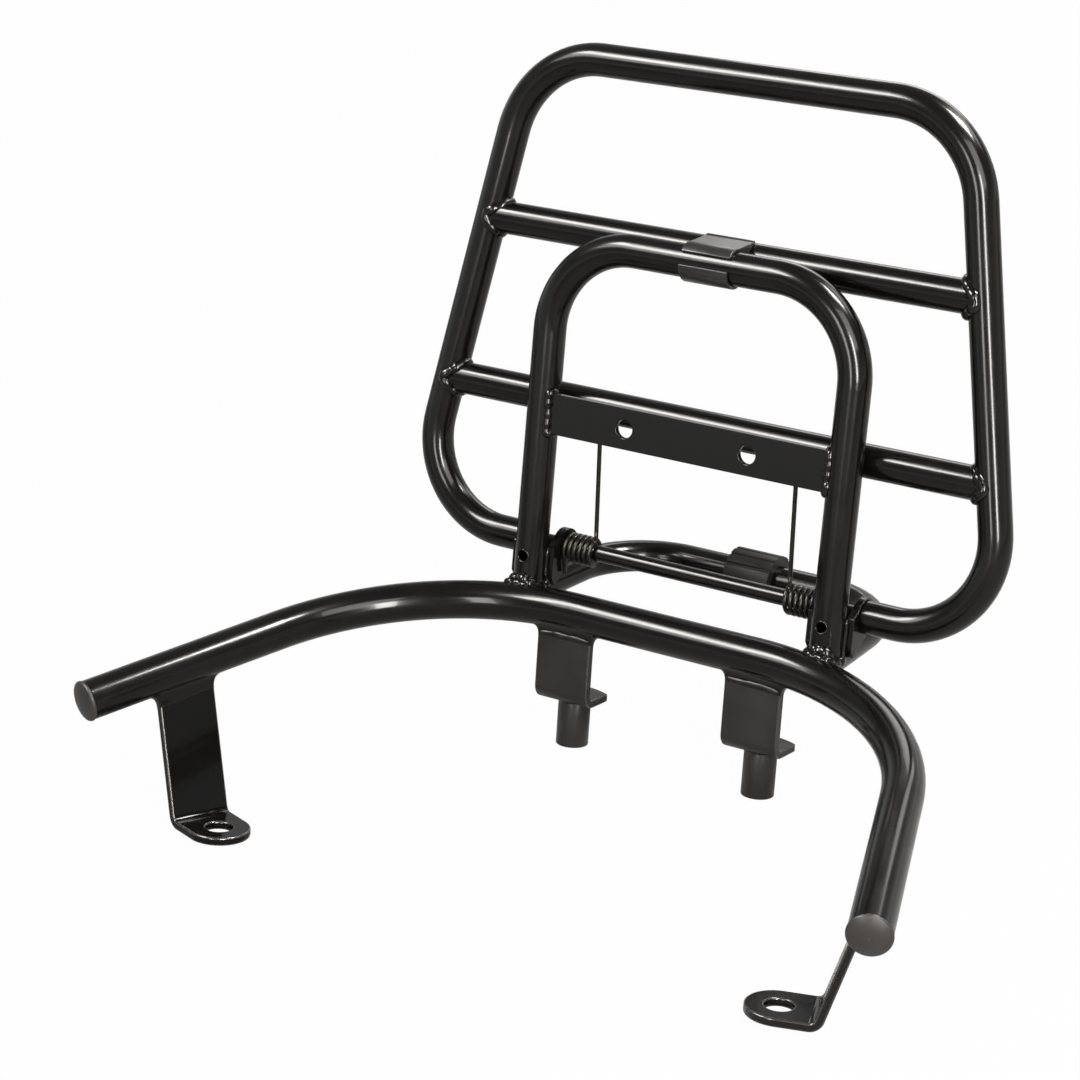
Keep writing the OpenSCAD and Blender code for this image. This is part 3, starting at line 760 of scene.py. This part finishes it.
# Each lamp: name, azimuth, elevation, distance, width, height, radiance, and whether it is only there
# for gloss.
LAMP_TINT = (1.0, 0.97, 0.93)
LAMPS = (
    ("key", -50.6, 48, 1.5, 0.75, 0.75, 9.0, True),
    ("fill", 62, 42, 1.5, 0.8, 0.8, 7.0, False),
    ("key_core", -50.6, 51, 1.45, 0.8, 0.26, 34.0, True),
    ("strip_left", 4, 21, 1.6, 0.3, 0.85, 15.0, True),
    ("strip_right", 47, 21, 1.6, 0.26, 0.85, 46.0, True),
    ("arm_light", 132, 57, 1.5, 0.46, 0.46, 70.0, True),
    ("back_glow", 190, 22, 1.6, 1.0, 0.4, 4.0, True),
    ("rim", 150, 40, 1.6, 0.8, 0.5, 5.0, False),
)


def outward(azimuth, elevation):
    a, e = math.radians(azimuth), math.radians(elevation)
    return Vector((math.sin(a) * math.cos(e), -math.cos(a) * math.cos(e), math.sin(e)))


def look(obj, at, target, roll=0.0):
    """Points obj's -Z at the target, with +Y up and then a roll to the right."""
    ahead = (target - at).normalized()
    right = ahead.cross(Vector((0, 0, 1))).normalized()
    up = right.cross(ahead)
    r = math.radians(roll)
    right, up = right * math.cos(r) + up * math.sin(r), up * math.cos(r) - right * math.sin(r)
    turn = Matrix((right, up, -ahead)).transposed().to_4x4()
    obj.matrix_world = Matrix.Translation(at) @ turn


def softbox(name, azimuth, elevation, distance, width, height, radiance, only_gloss):
    """A lamp of an even radiance. One for gloss only shows in reflections and lights no surface."""
    lamp = bpy.data.lights.new(name, "AREA")
    lamp.shape = "RECTANGLE"
    lamp.size = width
    lamp.size_y = height
    lamp.energy = radiance * width * height * math.pi
    lamp.color = LAMP_TINT
    obj = bpy.data.objects.new(name, lamp)
    bpy.context.collection.objects.link(obj)
    look(obj, MIDDLE + outward(azimuth, elevation) * distance, MIDDLE)
    obj.visible_diffuse = not only_gloss
    obj.visible_camera = False


def studio():
    """The world: white where a camera or glass looks, and a plain soft light on surfaces. Gloss sees
    the white backdrop at the horizon and below, and the dark studio above."""
    studio_world = bpy.data.worlds.new("studio")
    bpy.context.scene.world = studio_world
    studio_world.use_nodes = True
    tree = studio_world.node_tree
    link = tree.links.new
    tree.nodes.clear()
    ray = new_node(tree, "ShaderNodeLightPath")
    seen = new_node(tree, "ShaderNodeMath", operation="MAXIMUM")
    through = new_node(tree, "ShaderNodeMath", operation="MAXIMUM")
    link(ray.outputs["Is Camera Ray"], seen.inputs[0])
    link(ray.outputs["Is Transmission Ray"], seen.inputs[1])
    where = new_node(tree, "ShaderNodeTexCoord")
    split = new_node(tree, "ShaderNodeSeparateXYZ")
    link(where.outputs["Generated"], split.inputs["Vector"])
    above = new_node(tree, "ShaderNodeMapRange", {
        "From Min": SKY_FROM, "From Max": SKY_TO, "To Min": 1.0, "To Max": SKY_SHARE})
    link(split.outputs["Z"], above.inputs["Value"])
    gloss = new_node(tree, "ShaderNodeMath", operation="MULTIPLY")
    link(ray.outputs["Is Glossy Ray"], gloss.inputs[0])
    link(above.outputs["Result"], gloss.inputs[1])
    link(seen.outputs[0], through.inputs[0])
    link(gloss.outputs[0], through.inputs[1])
    white = new_node(tree, "ShaderNodeBackground", {"Color": WHITE, "Strength": 1.0})
    room = new_node(tree, "ShaderNodeBackground", {"Color": WHITE, "Strength": ROOM_LIGHT})
    choose = new_node(tree, "ShaderNodeMixShader")
    out = new_node(tree, "ShaderNodeOutputWorld")
    link(through.outputs[0], choose.inputs["Fac"])
    link(room.outputs[0], choose.inputs[1])
    link(white.outputs[0], choose.inputs[2])
    link(choose.outputs[0], out.inputs["Surface"])


def white_paper():
    """Matte white that a camera sees almost as bright as the background, with faint shadows."""
    paper = bpy.data.materials.new("white_paper")
    paper.use_nodes = True
    tree = paper.node_tree
    link = tree.links.new
    tree.nodes.clear()
    matte = new_node(tree, "ShaderNodeBsdfDiffuse", {"Color": PAPER_COLOUR})
    glow = new_node(tree, "ShaderNodeEmission", {"Color": WHITE, "Strength": 1.0})
    ray = new_node(tree, "ShaderNodeLightPath")
    share = new_node(tree, "ShaderNodeMath", operation="MULTIPLY")
    share.inputs[1].default_value = PAPER_GLOW
    mix = new_node(tree, "ShaderNodeMixShader")
    surface = new_node(tree, "ShaderNodeOutputMaterial")
    link(ray.outputs["Is Camera Ray"], share.inputs[0])
    link(share.outputs[0], mix.inputs["Fac"])
    link(matte.outputs[0], mix.inputs[1])
    link(glow.outputs[0], mix.inputs[2])
    link(mix.outputs[0], surface.inputs["Surface"])
    return paper


def plain_floor():
    h = FLOOR_HALF
    mesh = bpy.data.meshes.new("floor")
    mesh.from_pydata([(-h, -h, 0), (h, -h, 0), (h, h, 0), (-h, h, 0)], [], [(0, 1, 2, 3)])
    mesh.materials.append(white_paper())
    floor = bpy.data.objects.new("floor", mesh)
    bpy.context.collection.objects.link(floor)


def photo_camera():
    """The camera, fitted to the tubes of the photograph, for a square frame."""
    data = bpy.data.cameras.new("camera")
    data.sensor_width = SENSOR_WIDTH
    data.lens = CAMERA_LENS
    data.clip_end = CLIP_END
    camera = bpy.data.objects.new("camera", data)
    bpy.context.collection.objects.link(camera)
    eye = Vector(CAMERA_PLACE)
    look(camera, eye, eye - outward(CAMERA_AZIMUTH, CAMERA_ELEVATION), CAMERA_ROLL)
    return camera


for lamp_row in LAMPS:
    softbox(*lamp_row)
studio()
plain_floor()
bpy.context.scene.camera = photo_camera()
bpy.context.scene.view_settings.view_transform = "Standard"
